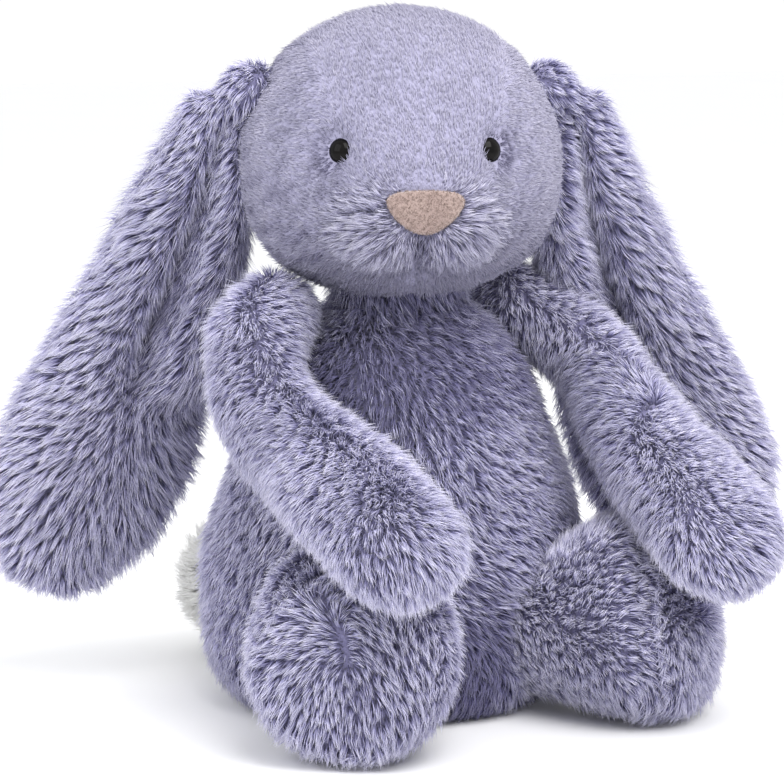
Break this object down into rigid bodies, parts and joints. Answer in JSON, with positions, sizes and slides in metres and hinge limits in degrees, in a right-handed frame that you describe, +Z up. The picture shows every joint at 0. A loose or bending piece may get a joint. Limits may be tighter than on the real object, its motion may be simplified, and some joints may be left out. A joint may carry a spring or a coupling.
{
  "type": "stuffed bunny rabbit",
  "caption": "Sitting plush bunny with long floppy ears, soft arms and legs, safety eyes, suede nose and a fluffy tail.",
  "frame": {"origin": "middle of the flat seat panel that the toy sits on", "axes": "+Z up through the head; the trunk faces -Y; the toy's own left side is +X"},
  "size_m": [0.2388, 0.2284, 0.2245],
  "materials": {
    "long_plush": "long lavender pile in soft clumps",
    "short_plush": "short dense lavender pile",
    "tail_fluff": "off-white fluffy pile",
    "nose_suede": "short napped suede cloth",
    "eye_gloss": "polished black",
    "washer_plastic": "moulded",
    "fibre_fill": "loose polyester fibre",
    "pouch_cotton": "plain woven cotton"
  },
  "bodies": {
    "trunk": {"body_cover": "long_plush", "body_stuffing": "fibre_fill", "seat_panel": "long_plush", "bean_pouch": "pouch_cotton"},
    "head": {"head_cover": "short_plush", "head_stuffing": "fibre_fill", "nose_patch": "nose_suede", "eye_right": "eye_gloss", "eye_left": "eye_gloss", "eye_washer_right": "washer_plastic", "eye_washer_left": "washer_plastic"},
    "ear_right": {"ear_right_back": "long_plush", "ear_right_lining": "long_plush"},
    "ear_left": {"ear_left_back": "long_plush", "ear_left_lining": "long_plush"},
    "tail": {"tail_cover": "tail_fluff", "tail_stuffing": "fibre_fill"},
    "arm_right": {"arm_right_cover": "long_plush", "arm_right_stuffing": "fibre_fill"},
    "arm_left": {"arm_left_cover": "long_plush", "arm_left_stuffing": "fibre_fill"},
    "leg_right": {"leg_right_cover": "long_plush", "leg_right_stuffing": "fibre_fill", "foot_right_sole": "long_plush"},
    "leg_left": {"leg_left_cover": "long_plush", "leg_left_stuffing": "fibre_fill", "foot_left_sole": "long_plush"}
  },
  "joints": [
    {"name": "head_nod", "type": "hinge", "parent": "trunk", "child": "head", "pos_m": [0, -0.004, 0.138], "axis": [0.9205, -0.3907, 0], "range_deg": [0, 12]},
    {"name": "ear_right_lift", "type": "hinge", "parent": "head", "child": "ear_right", "pos_m": [-0.04647, 0.01247, 0.19884], "axis": [0.3907, 0.9205, 0], "range_deg": [0, 60]},
    {"name": "ear_left_lift", "type": "hinge", "parent": "head", "child": "ear_left", "pos_m": [0.04413, -0.02599, 0.19884], "axis": [-0.3907, -0.9205, 0], "range_deg": [0, 60]},
    {"name": "tail_lift", "type": "hinge", "parent": "trunk", "child": "tail", "pos_m": [-0.008, 0.0545, 0.0255], "axis": [1, 0, 0], "range_deg": [0, 12]},
    {"name": "arm_right_raise", "type": "hinge", "parent": "trunk", "child": "arm_right", "pos_m": [-0.0426, -0.001, 0.12834], "axis": [-1, 0, 0], "range_deg": [0, 40]},
    {"name": "arm_left_raise", "type": "hinge", "parent": "trunk", "child": "arm_left", "pos_m": [0.0426, -0.001, 0.12834], "axis": [-1, 0, 0], "range_deg": [0, 40]},
    {"name": "leg_right_splay", "type": "hinge", "parent": "trunk", "child": "leg_right", "pos_m": [-0.02522, -0.02886, 0.0264], "axis": [0, 0, -1], "range_deg": [0, 20]},
    {"name": "leg_left_splay", "type": "hinge", "parent": "trunk", "child": "leg_left", "pos_m": [0.02522, -0.02886, 0.0264], "axis": [0, 0, 1], "range_deg": [0, 20]}
  ]
}
